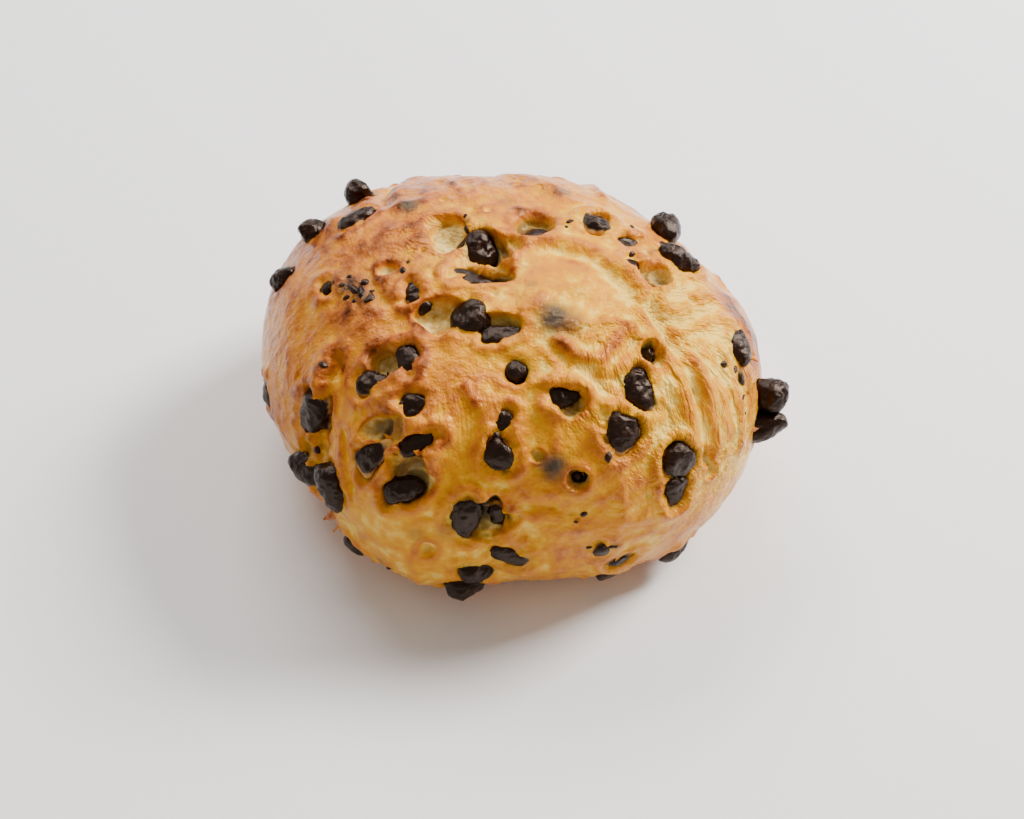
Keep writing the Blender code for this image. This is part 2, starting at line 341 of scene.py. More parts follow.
# Lines where the dough was folded: kind, height, width (mm), and the bearings and lifts along it.
# A step is high on the right-hand side of its line, seen from outside and going along it.
FOLDS = (
    ("step", 3.2, 2.2, (290, 33.5), (294.5, 28.5), (297.5, 25), (300.5, 20), (301.5, 12), (303.5, 5),
        (304, -3), (305, -12)),
    ("crease", 1.4, 1.1, (289, 34), (294, 29), (297, 25.5), (300, 20.5), (300.5, 14)),
    ("crease", 1.7, 1.1, (309.5, 21.5), (313.5, 18), (317.5, 13), (319.5, 6.5)),
    ("step", 1.6, 2.6, (71, 43), (77, 46.5), (89, 57), (105, 63), (133, 75), (160, 82)),
    ("crease", 1.9, 1.3, (93, 44), (85, 46), (74, 44), (66, 37.5), (60, 32)),
    ("crease", 1.3, 1.2, (72, 43), (76, 37), (84, 33), (90, 26)),
    ("ridge", 1.4, 1.3, (29, 54), (26, 49), (28, 43), (31, 37.5), (35.5, 32.5), (42, 28)),
    ("ridge", 1.2, 1.4, (66, 47), (56, 49.5), (46, 49), (38, 46), (36, 41)),
    ("crease", 1, 1.1, (62, 44), (50, 45.5), (42, 44), (36, 37)),
    ("step", 2.6, 2.2, (353, 17), (355, 14), (358.5, 8), (3.5, -1.5), (7.5, -14)),
    ("ridge", 0.7, 0.8, (0, 15), (1, 7), (4.5, 0), (6.5, -5)),
    ("crease", 0.9, 1.3, (2.5, 13.5), (7, 14), (13.5, 13.5)),
    ("ridge", 2.4, 0.9, (202.5, 66), (188.5, 75), (157.5, 85.5), (346, 87)),
    ("ridge", 0.5, 1, (195.5, 39), (198, 49.5), (202, 55.5)),
    ("ridge", 0.4, 1.2, (204, 33), (203, 44), (205, 55)),
    ("crease", 0.4, 1.2, (206, 34), (206, 44), (209, 54)),
    ("crease", 1, 1, (286, 5), (289, 1), (292, -4)),
    ("ridge", 1, 0.9, (338.5, 31), (338, 26), (337.5, 21), (335.5, 16)),
    ("ridge", 0.9, 1.2, (340, 74), (0, 70), (25, 72), (50, 74)),
    ("crease", 1.2, 1.4, (262, 44), (272, 47), (283, 49), (288, 54)),
    ("crease", 0.7, 1, (20, 62), (35, 57), (50, 57)),
    ("crease", 2, 1.8, (236, 44), (222, 30), (208, 16), (196, 4), (190, -8)),
    ("step", 0.8, 3.4, (150, 52), (166, 46), (182, 34), (190, 20), (188, 4)),
    ("crease", 1.6, 1.6, (118, 26), (132, 20), (146, 22), (160, 16)),
    ("ridge", 1.2, 1.5, (140, 42), (152, 30), (158, 16), (156, 2)),
    ("ridge", 1.4, 1.5, (24, 60), (28, 55), (33, 50), (40, 47)),
    ("crease", 1.3, 1.2, (19, 60), (24, 54), (27, 47), (32, 42)),
    ("ridge", 1.2, 1.4, (52, 58), (58, 52), (60, 45), (57, 38)),
    ("ridge", 1.3, 1.5, (66, 34), (61, 27), (57, 18), (54, 9)),
    ("crease", 1.2, 1.2, (62, 33), (57, 26), (53, 18)),
    ("ridge", 1.2, 1.5, (76, 30), (70, 21), (64, 12), (60, 3)),
    ("ridge", 1, 1.5, (48, 24), (44, 16), (41, 8)),
    ("crease", 1.2, 1.2, (352, 17), (354, 14), (357.5, 8), (2, -1.5), (6, -12)),
    ("ridge", 1, 1.2, (340, 46), (345, 42), (350, 40)),
    ("ridge", 0.9, 1, (12, 50), (16, 44), (21, 38), (28, 33), (34, 27)),
    ("crease", 1, 1, (14, 47), (18, 41), (24, 36), (31, 30)),
)
FOLD_EVENED = {"step": 7, "crease": 2, "ridge": 1}  # how often each kind of fold is evened out
# Stretched, wrinkled skin: bearing, lift, reach (degrees), height (mm), and the bearing and lift that the
# wrinkles run towards
WRINKLES = (
    (58, 27, 21, 2.1, 50, 8),
    (84, 32, 13, 1.3, 70, 40),
    (38, 42, 13, 1.3, 30, 25),
    (232, 60, 12, 1.0, 240, 40),
    (345, 38, 12, 0.5, 350, 20),
    (290, 20, 14, 0.45, 300, 0),
    (168, 24, 20, 1.0, 160, 0),
    (215, 22, 14, 0.9, 200, 10),
)
# Chips wholly under the skin: bearing, lift, reach (mm), darkness from 0 to 1
HIDDEN_CHIPS = (
    (225, 44.5, 3, 0.95), (31.5, 64.5, 5.2, 0.97), (36, 61.5, 4.8, 0.7), (11.5, 25, 4, 0.97),
    (352, 13, 2.4, 0.97), (352.5, 10, 2.2, 0.95), (352, 16, 2, 0.8), (344, 7, 3.6, 0.3), (318, 33, 3, 0.3),
    (326, 32, 3, 0.25), (16, 46.5, 1.5, 0.55), (40, 79, 1.6, 0.4), (275, 44, 2, 0.5),
    (268.5, 39.5, 3, 0.55), (337, 5, 2.6, 0.35), (322, 16.5, 3.2, 0.4), (15.5, 19, 2.4, 0.35),
    (76, 24, 1.4, 0.5), (25.5, -1, 1.6, 0.9), (29.5, 27, 3.8, 0.3), (207, 6, 2.6, 0.6), (158, 46, 3, 0.6),
    (176, 22, 2.6, 0.5), (134, 30, 2.4, 0.8), (222, 16, 3, 0.5), (115, -4, 2.6, 0.6), (183, 56, 2.6, 0.35),
    (248, 4, 2.8, 0.45),
)
# Hollows where the dough sagged or tore: bearing, lift, width, depth (mm)
DENTS = (
    (307, 40, 9, 2.2), (323, 28.5, 8, 3), (332.5, 21.5, 9, 3.2), (353.5, 13, 8, 3.2), (354.5, 6, 7, 1.2),
    (355, 33, 3.6, 0.9), (23, 40, 5.5, 1.9), (57, 38.5, 6, 2), (161, 66.5, 10.5, 3), (94, 46, 7.5, 2.4),
    (52, 12.5, 4, 1.5), (52, 8, 3.6, 1.3), (226, 57.5, 9, 1.5), (191, 79, 8, 2.6), (312.5, 58.5, 9, 1.2),
    (299.5, 6.5, 6.5, 2.2), (293, 31, 3.8, 1.2), (340, 0.5, 4.2, 1), (8, 27.5, 2.8, 0.9),
    (290.5, 84.5, 6, 2), (255.5, 75, 8, 1.2), (299, 56, 5, 1), (0, 10, 4, 1), (352.5, 12.5, 4.8, 2.2),
    (353, 8, 4, 1.4),
)
# Small bubbles that burst: bearing, lift, width, depth (mm)
BUBBLES = (
    (264, 50, 4.6, 0.5), (295, 30, 2.6, 0.9), (7, 28, 2.4, 0.5), (196, 60, 2.4, 0.5), (243, 62, 3, 0.7),
    (251, 59, 2.2, 0.7), (235, 68, 2.2, 0.5), (86, 36, 2.4, 0.6), (92, 33, 1.8, 0.6), (60, 54, 2, 0.3),
    (34, 12, 2, 0.4), (150, 8, 2.4, 0.7), (178, 44, 3, 0.6), (212, 48, 2, 0.5), (122, 12, 2.6, 0.6),
    (333, 77, 2.2, 0.6), (5, 70, 2.4, 0.4), (288, 20, 2, 0.3), (66, 10, 2, 0.4),
)
# Where the crust is browner (more than 0) or paler, partly its real browning and partly painted light and
# shade, browner on the left away from the window and paler on the lit right: bearing, lift, reach
# (degrees), amount
BROWNING_AND_SHADE = (
    (262, 22, 30, 0.13), (300, 20, 14, 0.06), (335, 32, 16, 0.06), (285, 42, 13, 0.08),
    (340, 22, 12, 0.06), (230, 26, 16, 0.1), (318, 52, 10, 0.06), (250, 46, 18, 0.12), (322, 28, 5, 0.2),
    (275, -14, 22, -0.06), (340, 2, 24, -0.16), (20, -5, 24, -0.08), (60, 24, 24, -0.22),
    (86, 38, 16, -0.22), (322, -12, 18, -0.14), (262, 62, 14, -0.04), (30, 80, 24, -0.08),
    (318, 44, 12, 0.02), (30, 45, 12, -0.12), (0, 54, 9, -0.14), (140, 52, 16, -0.12), (88, 15, 7, 0.5),
    (94, 24, 6, 0.4), (86, 4, 6, 0.3), (225, 62, 9, -0.1), (70, 62, 18, -0.08), (303, 14, 6, 0.12),
    (306, -4, 6, 0.1), (180, 20, 30, 0.08), (150, 0, 26, -0.05), (210, -6, 24, -0.05), (62, -6, 16, -0.1),
    (50, 12, 9, -0.07), (24, 30, 10, 0.06),
)
# Chocolate smeared over the crust: bearing, lift, reach (mm), amount
SMEARS = (
    (208, 66, 2, 0.8), (140, 61, 2.4, 0.75), (263, 38, 3.2, 0.55), (104, 34, 3.4, 0.5), (77, 6, 3.2, 0.6),
    (301, 8, 3.4, 0.7), (315, 8, 2.6, 0.6), (62, 20, 1.5, 0.35), (112, 47, 1.4, 0.5),
    (333, 24, 2.4, 0.25), (271, 41, 4.6, 0.95), (276, 44, 3.6, 0.85), (211, 62, 2.4, 0.8),
    (139, 58, 2.8, 0.7), (106, 43, 2.6, 0.7), (72, 14, 3, 0.7), (74, 19, 2.4, 0.8), (293, 26, 2, 0.6),
    (298, 14, 2.6, 0.6), (48, 14, 2.4, 0.5), (270, 61, 2.6, 0.5), (92, 17, 3.6, 0.35), (90, 26, 3, 0.3),
    (328, -11, 2.4, 0.6), (16, 10, 2, 0.5),
)
# Holes darkened with painted shade: bearing, lift, reach (mm), darkness
DARK_HOLES = (
    (354.5, 13.5, 7, 0.95), (0, 10, 5, 0.9), (332.5, 21, 6, 0.6), (94, 45.5, 6, 0.85), (191, 78, 6, 0.5),
    (290, 84, 5, 0.8), (299, 7, 6, 0.8), (323, 28, 7, 0.9), (355, 33, 4, 0.8), (24, 39, 5, 0.4),
    (160, 68, 7, 0.65), (303, 14, 6, 0.7), (309, 39, 5, 0.3), (205, 66, 6, 0.6), (352, 62, 6, 0.35),
)


def smooth_line(stops, spacing=0.6):
    """Points at about this spacing in mm along a smooth curve through the stops (Catmull and Rom)."""
    stops = [stops[0], *stops, stops[-1]]
    line = []
    for before, start, end, after in zip(stops, stops[1:], stops[2:], stops[3:]):
        count = max(2, int(np.linalg.norm(end - start) / spacing))
        for t in np.linspace(0, 1, count, endpoint=False)[:, None]:
            bend = -before + 3 * start - 3 * end + after
            curve = 2 * before - 5 * start + 4 * end - after
            line.append(0.5 * (2 * start + (end - before) * t + curve * t**2 + bend * t**3))
    return np.vstack(line)


def beside_line(places, outward, line):
    """Each point's distance from a line in mm, negative on its left, and its place along it from 0 to 1."""
    best = np.full(len(places), np.inf)
    index = np.zeros(len(places), int)
    for number, point in enumerate(line):
        apart = ((places - point) ** 2).sum(1)
        nearer = apart < best
        best[nearer] = apart[nearer]
        index[nearer] = number
    ahead = line[np.minimum(index + 1, len(line) - 1)] - line[np.maximum(index - 1, 0)]
    right = np.cross(ahead, outward)
    side = np.sign((right * (places - line[index])).sum(1))
    return side * np.sqrt(best), index / (len(line) - 1)


def fold_height(kind, height, width, aside, along):
    """How much a fold lifts the skin, in mm."""
    ends = ease(along, 0, 0.18) * ease(1 - along, 0, 0.18)
    apart = np.abs(aside)
    if kind == "ridge":
        return height * ends * np.exp(-((apart / width) ** 2))
    if kind == "crease":
        groove = np.exp(-((apart / width) ** 1.3))
        shoulders = 0.32 * np.exp(-(((apart - 2.3 * width) / (1.3 * width)) ** 2))
        return height * ends * (shoulders - groove)
    lip = np.where(aside > 0, np.exp(-((apart / (2.2 * width)) ** 2)), -np.exp(-apart / (1.3 * width)))
    return height * ends * lip * np.tanh(apart / 0.8)


def near(places, bearing, lift, reach):
    """1 at a place on the crust, falling smoothly to 0 beyond a reach in mm."""
    apart = np.linalg.norm(places - skin_point(bearing, lift), axis=1)
    return np.exp(-((apart / reach) ** 2))


def zone(places, bearing, lift, reach):
    """The same with the reach in degrees round the middle of the bun."""
    ray = places - MIDDLE
    ray /= np.linalg.norm(ray, axis=1)[:, None]
    aim = skin_point(bearing, lift) - MIDDLE
    aim /= np.linalg.norm(aim)
    away = np.degrees(np.arccos(np.clip(ray @ aim, -1, 1)))
    return np.exp(-((away / reach) ** 2))


def neighbour_mean(mesh, values, times):
    """The values averaged over each point's neighbours, this many times."""
    edges = np.empty(len(mesh.edges) * 2, np.int32)
    mesh.edges.foreach_get("vertices", edges)
    one, other = edges.reshape(-1, 2).T
    count = np.bincount(one, minlength=len(values)) + np.bincount(other, minlength=len(values))
    for _ in range(times):
        total = np.zeros_like(values)
        np.add.at(total, one, values[other])
        np.add.at(total, other, values[one])
        values = total / count.reshape(-1, *[1] * (values.ndim - 1))
    return values


crust = remade(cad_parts["dough"].data, "brioche_dough", voxels(CRUST_GRAIN), evened(3))
places = points_of(crust)
deep, outward = below_skin(places)
off_table = ease(places[:, 2], 0.3, 7)
open_skin = 1 - ease(deep, 0.8, 2.5)

# Holes are torn, not cut: their edges wander
wander = np.stack([cloud(places, 5.5, seed) for seed in (1, 2, 3)], axis=1) * 0.75
wander += np.stack([cloud(places, 2.2, seed) for seed in (4, 5, 6)], axis=1) * 0.28
places += wander * (off_table * ease(deep, 0.1, 1.5) + 0.2 * off_table)[:, None]

# It rose unevenly, stretched along its folds, and wrinkled, blistered and sagged between them
lift_up = 0.8 * cloud(places, 15, 8) + 0.9 * (0.35 - np.abs(cloud(places, 8, 9)))
lift_up += 0.13 * cloud(places, 2.4, 10)
# how deep each point lies in a crease, for the painted shade there
crease_shade = np.zeros(len(places))
for kind, height, width, *stops in FOLDS:
    line = smooth_line([skin_point(*stop) for stop in stops])
    aside, along = beside_line(places, outward, line)
    rise = neighbour_mean(crust, fold_height(kind, height, width, aside, along), FOLD_EVENED[kind])
    lift_up += rise
    if kind == "crease":
        crease_shade += np.clip(-rise / height, 0, 1)
grain = places.copy()
wrinkled = np.zeros(len(places))
for bearing, lift, reach, height, to_bearing, to_lift in WRINKLES:
    strength = zone(places, bearing, lift, reach)
    start = skin_point(bearing, lift)
    flow = skin_point(to_bearing, to_lift) - start
    flow /= np.linalg.norm(flow)
    along = (places - start) @ flow
    drawn = places - (along * 0.8)[:, None] * flow
    drawn += 1.5 * np.stack([cloud(places, 11, seed) for seed in (21, 22, 23)], axis=1)
    puffs = np.abs(cloud(drawn, 7.5, 24)) ** 0.75 + 0.4 * np.abs(cloud(drawn, 4.2, 25)) ** 0.8 - 0.5
    lift_up += height * strength * puffs
    grain -= (along * 0.8 * np.clip(1.6 * strength, 0, 1))[:, None] * flow
    wrinkled = np.maximum(wrinkled, np.clip(1.5 * strength, 0, 1) * height)
for bearing, lift, reach, dark in HIDDEN_CHIPS:
    lift_up += 0.35 * dark * near(places, bearing, lift, reach * 1.3)
for bearing, lift, width, depth in BUBBLES:
    apart = np.linalg.norm(places - skin_point(bearing, lift), axis=1) / (width / 2)
    apart += 0.35 * cloud(places, 2.2, 28)
    lift_up += depth * (0.2 * np.exp(-(((apart - 1.25) / 0.4) ** 2)) - 1.6 * (1 - ease(apart, 0.4, 1.15)))
hollowed = np.zeros(len(places))
for bearing, lift, width, depth in DENTS:
    apart = np.linalg.norm(places - skin_point(bearing, lift), axis=1) / (width / 2)
    apart += 0.22 * cloud(places, 3.5, 27)
    bowl = 1 - ease(apart, 0.68, 1.1)
    lift_up += 0.3 * np.exp(-(((apart - 1.3) / 0.35) ** 2)) - depth * bowl * open_skin
    hollowed = np.maximum(hollowed, bowl * min(1, depth / 2.2))
places += outward * (lift_up * off_table)[:, None]

# The dough bakes onto its chips: it is drawn in until it all but touches them, with a thin lip around each
chip_tree_points, chip_tree_faces = [], []
for chip in chip_meshes:
    first = len(chip_tree_points)
    chip_tree_points += [Vector(p) for p in points_of(chip)]
    chip_tree_faces += [tuple(first + v for v in face.vertices) for face in chip.polygons]
chip_tree = BVHTree.FromPolygons(chip_tree_points, chip_tree_faces)
face_chip = np.repeat(np.arange(1, len(chip_meshes) + 1), [len(chip.polygons) for chip in chip_meshes])
collar_of = np.array([0] + [COLLARS.get(number, COLLAR_USUAL) for number in range(1, len(chip_meshes) + 1)])


def beside_chips(places):
    """Each point's distance from the nearest chip (below 0 inside it), the way out, and its number."""
    there, normal, gap, face = nearest_on(chip_tree, places)
    inside = ((places - there) * normal).sum(1) < 0
    away = np.where(inside[:, None], normal, (places - there) / np.maximum(gap, 1e-6)[:, None])
    return np.where(inside, -gap, gap), away, face_chip[face]


signed_gap, _, number = beside_chips(places)
swollen = 0.65 + 0.55 * cloud(places, 3.8, 31) + 0.2 * cloud(places, 1.6, 32)
sagging = ease(cloud(places, 4.2, 33), -0.3, 0.35)
lip = np.exp(-(((signed_gap - 2.0) / 1.3) ** 2)) * np.maximum(swollen, 0)
touching = np.exp(-((np.maximum(signed_gap, 0) / 1.2) ** 2))
collar = collar_of[number] * (lip + touching * (0.7 - 2.0 * sagging)) * open_skin
places += outward * (collar * off_table)[:, None]
signed_gap, away, number = beside_chips(places)
in_hole = ease(deep, 1.6, 2.6)
free_to_leave = (away * outward).sum(1) < 0.3
pull = (1 - ease(signed_gap, 0.75, 1.9)) * (1 - in_hole) * (1 - 0.5 * sagging)
pull = np.where(signed_gap < CHIP_FIT, free_to_leave, pull)
drawn_in = np.clip((signed_gap - CHIP_FIT) * pull, -2.5, 1.5)
places -= away * drawn_in[:, None]
places[:, 2] = np.maximum(places[:, 2], 0)
move_points(crust, places)

# What the oven did to its colour, and painted shade in the creases, the holes and on the left side, kept on
# the mesh for the material
smooth_places = neighbour_mean(crust, places, 14)
proud = ((places - smooth_places) * normals_of(crust)).sum(1)
bake = 0.42 + 0.13 * cloud(places, 13, 41) + 0.13 * cloud(places, 4.5, 42) + 0.10 * cloud(places, 1.6, 43)
# painted light and shade as well as browning: these zones darken the left side, away from the window, and
# pale the lit right side
for bearing, lift, reach, amount in BROWNING_AND_SHADE:
    bake += amount * zone(places, bearing, lift, reach)
by_chip = np.exp(-np.maximum(signed_gap, 0) / 1.6)
proud_bake = np.clip(proud, -0.34, 0.28) * 0.85 * (1 - by_chip)
# painted shade: the bottoms of the creases are darkened
bake += proud_bake + 0.12 * np.clip(crease_shade, 0, 1) - 0.10 * by_chip
underneath = 1 - ease(places[:, 2], 0.2, 2.5)
bake = np.where(underneath > 0, bake * (1 - underneath) + 0.68 * underneath, bake)
rim = np.exp(-(((deep - 0.35) / 0.45) ** 2)) * (signed_gap > 1.5)
bake += 0.12 * rim * ease(cloud(places, 5, 44), 0.0, 0.6)
crumb = np.maximum(ease(deep + 0.35 * cloud(places, 2.5, 45), 0.75, 1.9), 0.4 * ease(hollowed, 0.3, 0.9))
# painted shade: how far the crumb is darkened toward the bottom of deep holes and dents
hollow_shade = np.maximum(ease(deep, 1.5, 5.5), 0.35 * hollowed)
hollow_shade = hollow_shade * (1 - 0.8 * zone(places, 238, 62, 5)) * (1 - 0.6 * zone(places, 305, 61, 5))
crumb = np.maximum(crumb, 0.75 * zone(places, 236, 67, 6.5) * ease(cloud(places, 3.2, 46), -0.5, 0.4))
patchy = ease(cloud(places, 1.8, 47) + 0.25 * cloud(places, 0.7, 48), -0.35, 0.6)
smear = np.exp(-np.maximum(signed_gap, 0) / 0.5) * patchy
smear *= 0.2 + 0.8 * ease(cloud(places, 6, 49), -0.2, 0.5)
for bearing, lift, reach, amount in SMEARS:
    blotches = ease(cloud(places, 1.5, 50), -0.15, 0.3)
    smear = np.maximum(smear, amount * near(places, bearing, lift, reach) * blotches)
shadow = 0.55 * np.exp(-np.maximum(signed_gap, 0)) * open_skin * ease(cloud(places, 2.8, 52), -0.3, 0.6)
for bearing, lift, reach, dark in HIDDEN_CHIPS:
    blurred = near(places, bearing, lift, reach) * (1 + 0.18 * cloud(places, 1.9, 51))
    shadow = np.maximum(shadow, dark * ease(blurred, 0.1, 0.95))
sunk = ease(below_skin(places)[0], 0.9, 2.6)
# painted shade in the bottoms of these holes
for bearing, lift, reach, dark in DARK_HOLES:
    hole_shade = near(places, bearing, lift, reach) + 0.15 * cloud(places, 1.5, 53)
    shadow = np.maximum(shadow, dark * sunk * ease(hole_shade, 0.15, 0.7))
for name, values in (
    ("bake", bake), ("crumb", crumb), ("smear", smear), ("shadow", shadow), ("wrinkled", wrinkled),
    ("hollow_shade", hollow_shade),
):
    set_attribute(crust, name, np.clip(values, 0, 1))
grain += 0.5 * np.stack([cloud(places, 5, seed) for seed in (61, 62, 63)], axis=1)


def set_grain(mesh, values):
    """Where the texture of stretched skin is read from, in mm."""
    grain_data = mesh.attributes.new("grain", "FLOAT_VECTOR", "POINT").data
    grain_data.foreach_set("vector", values.astype(np.float32).ravel())


set_grain(crust, grain)
baked = bpy.data.materials.new("egg_washed_crust")


def make_crust(material):
    """Egg-washed brioche: pale crumb where it tore, gold to brown skin, chocolate round the chips; painted
    shade darkens its creases, holes and left side.
    """
    material.use_nodes = True
    tree = material.node_tree
    shader = tree.nodes["Principled BSDF"]
    marks = {
        name: add_node(tree, "ShaderNodeAttribute", (-1900, 600 - 180 * row), attribute_name=name)
        for row, name in enumerate(("bake", "crumb", "smear", "shadow", "wrinkled", "grain", "hollow_shade"))
    }
    mottle = add_node(tree, "ShaderNodeTexNoise", (-1650, 800), Scale=0.36, Detail=5.0, Roughness=0.55)
    uneven = add_node(
        tree, "ShaderNodeMapRange", (-1450, 800),
        **{"From Min": 0.3, "From Max": 0.7, "To Min": -0.15, "To Max": 0.15},
    )
    toast_and_shade = add_node(tree, "ShaderNodeMath", (-1250, 700), operation="ADD")
    skin = add_node(tree, "ShaderNodeValToRGB", (-1050, 700))
    fill_ramp(
        skin,
        (0.06, (0.82, 0.52, 0.08)), (0.20, (0.72, 0.340, 0.006)), (0.38, (0.63, 0.240, 0.002)),
        (0.54, (0.56, 0.184, 0.013)), (0.68, (0.44, 0.120, 0.018)), (0.84, (0.22, 0.046, 0.010)),
        (1.0, (0.05, 0.010, 0.003)),
    )
    crumb_grain = add_node(tree, "ShaderNodeTexNoise", (-1650, 350), Scale=0.7, Detail=4.0)
    crumb_skin = add_node(tree, "ShaderNodeValToRGB", (-1250, 350))
    fill_ramp(crumb_skin, (0.3, (0.46, 0.25, 0.03)), (0.52, (0.68, 0.47, 0.12)), (0.72, (0.80, 0.66, 0.33)))
    # painted shade: crumb darkened toward the bottom of the holes
    crumb_in_shade = add_node(tree, "ShaderNodeMix", (-1020, 350), data_type="RGBA")
    crumb_in_shade.inputs["B"].default_value = (0.13, 0.052, 0.008, 1)
    dark = add_node(tree, "ShaderNodeTexNoise", (-1650, -250), Scale=1.1, Detail=3.0)
    chocolate_stain = add_node(tree, "ShaderNodeValToRGB", (-1250, -250))
    fill_ramp(chocolate_stain, (0.35, (0.020, 0.007, 0.004)), (0.7, (0.10, 0.030, 0.010)))
    torn = add_node(tree, "ShaderNodeMix", (-800, 500), data_type="RGBA")
    stained = add_node(tree, "ShaderNodeMix", (-560, 400), data_type="RGBA")
    # grey where a chip shows through the thin skin, and painted shade in the dark holes
    shaded = add_node(tree, "ShaderNodeMix", (-320, 300), data_type="RGBA")
    shaded.inputs["B"].default_value = (0.052, 0.045, 0.039, 1)
    wash = add_node(tree, "ShaderNodeTexNoise", (-1650, -550), Scale=0.26, Detail=4.0)
    gloss = add_node(tree, "ShaderNodeMapRange", (-1250, -550), **{"To Min": 0.08, "To Max": 0.24})
    matt = add_node(tree, "ShaderNodeMath", (-800, -450), operation="MULTIPLY_ADD")
    matt.inputs[1].default_value = 0.25
    fine = add_node(tree, "ShaderNodeTexNoise", (-1650, -850), Scale=0.4, Detail=6.0, Roughness=0.54)
    creased = add_node(tree, "ShaderNodeTexNoise", (-1650, -1100), Scale=0.26, Detail=4.0, Roughness=0.55)
    valley = add_node(tree, "ShaderNodeMath", (-1450, -1100), operation="SUBTRACT")
    valley.inputs[1].default_value = 0.5
    fold = add_node(tree, "ShaderNodeMath", (-1350, -1100), operation="ABSOLUTE")
    depth = add_node(tree, "ShaderNodeMath", (-1250, -1100), operation="MULTIPLY")
    relief = add_node(tree, "ShaderNodeMath", (-1050, -900), operation="MULTIPLY_ADD")
    relief.inputs[1].default_value = 4.5
    bumps = add_node(tree, "ShaderNodeBump", (-800, -850), Strength=1.0, Distance=0.0008)
    place = add_node(tree, "ShaderNodeTexCoord", (-2200, 600))
    in_mm = add_node(tree, "ShaderNodeVectorMath", (-2050, 600), operation="SCALE", Scale=1000.0)
    join(
        tree,
        (place, "Object", in_mm, 0),
        *((in_mm, "Vector", texture, "Vector") for texture in (mottle, crumb_grain, dark, wash, fine)),
        (marks["grain"], "Vector", creased, "Vector"),
        (mottle, "Fac", uneven, "Value"),
        (marks["bake"], "Fac", toast_and_shade, 0),
        (uneven, "Result", toast_and_shade, 1),
        (toast_and_shade, "Value", skin, "Fac"),
        (crumb_grain, "Fac", crumb_skin, "Fac"),
        (marks["hollow_shade"], "Fac", crumb_in_shade, "Factor"),
        (crumb_skin, "Color", crumb_in_shade, "A"),
        (marks["crumb"], "Fac", torn, "Factor"),
        (skin, "Color", torn, "A"),
        (crumb_in_shade, "Result", torn, "B"),
        (dark, "Fac", chocolate_stain, "Fac"),
        (marks["smear"], "Fac", stained, "Factor"),
        (torn, "Result", stained, "A"),
        (chocolate_stain, "Color", stained, "B"),
        (marks["shadow"], "Fac", shaded, "Factor"),
        (stained, "Result", shaded, "A"),
        (shaded, "Result", shader, "Base Color"),
        (wash, "Fac", gloss, "Value"),
        (marks["crumb"], "Fac", matt, 0),
        (gloss, "Result", matt, 2),
        (matt, "Value", shader, "Roughness"),
        (creased, "Fac", valley, 0),
        (valley, "Value", fold, 0),
        (fold, "Value", depth, 0),
        (marks["wrinkled"], "Fac", depth, 1),
        (depth, "Value", relief, 0),
        (fine, "Fac", relief, 2),
        (relief, "Value", bumps, "Height"),
        (bumps, "Normal", shader, "Normal"),
    )
    shader.inputs["Subsurface Weight"].default_value = 0.12
    shader.inputs["Subsurface Radius"].default_value = (1.0, 0.4, 0.1)
    shader.inputs["Subsurface Scale"].default_value = 0.003
    shader.inputs["Specular IOR Level"].default_value = 0.33
    shader.inputs["Specular Tint"].default_value = (1.0, 0.66, 0.2, 1)


make_crust(baked)
add_piece("brioche_dough", crust, baked, "crust", "dough")

# ---------------------------------------------------------------------------------------------------------
# Crumbs of chocolate. Small broken bits of the same chips, pressed into the crust as the dough was folded,
# and drips that boiled out of it and set.

CRUMBS = (  # bearing, lift, length, width (mm)
    (268, 38, 1.8, 1), (271, 41, 4.4, 2.2), (274, 43, 3.8, 2), (278, 45, 3.2, 2.1), (274, 46, 1.5, 1),
    (265, 40, 1.7, 1.1), (266, 36, 1.3, 0.9), (269, 44, 2.4, 1.7), (274, 39, 2, 1.4), (277, 41, 1.5, 1.1),
    (267, 55, 2.3, 1.7), (300, 59, 4.4, 2.8), (276, 57, 1.5, 0.9), (292, 27, 2.2, 1.7), (214, 64, 2.6, 1.7),
    (211, 60, 1.4, 1), (214, 66, 1.7, 1.1), (138, 60, 1.8, 1.4), (137, 63, 1.3, 1), (124, 43, 1.8, 1.1),
    (106, 50, 2, 1.3), (71, 25, 2.4, 1.9), (73, 18, 3.8, 2.1), (73, 21, 2.1, 1.3), (18, 11, 2, 1.5),
    (16, 9, 1.1, 0.9), (25, -1, 2.2, 1.7), (26, 25, 2.6, 1.9), (329, -13, 1.7, 1.3), (323, 35, 1.1, 0.9),
    (114, 37, 2, 1.5), (298, 8, 3, 2), (302, 8, 2.6, 1.8), (310, 39, 3.2, 1), (308, 37, 2, 0.9),
    (355, 33, 3, 1.6), (70, 15, 1.6, 0.8), (68, 15, 1.8, 0.8), (68, 12, 1.5, 0.8), (19, -1, 1.6, 1.1),
    (261, 56, 1.4, 1),
)
CRUMB_SUNK = 0.35  # the share of its width that a crumb lies under the crust
GOLDEN_TURN = math.radians(137.5)  # from one crumb's direction to the next, so that no two point alike

crust_tree = tree_of(crust)


def new_ball():
    """A ball 1 mm across, to be shaped into a bit, and its points."""
    ball = bmesh.new()
    bmesh.ops.create_icosphere(ball, subdivisions=3, radius=0.5)
    return ball, np.array([v.co for v in ball.verts])


def put_bit(ball, places, joined):
    """Moves a ball's points to these places in mm, and adds it to the bits joined so far."""
    for vertex, place in zip(ball.verts, places):
        vertex.co = place * MM
    bit = bpy.data.meshes.new("bit")
    ball.to_mesh(bit)
    ball.free()
    joined.from_mesh(bit)
    bpy.data.meshes.remove(bit)


def mesh_of(form, name):
    mesh = bpy.data.meshes.new(name)
    form.to_mesh(mesh)
    form.free()
    return mesh


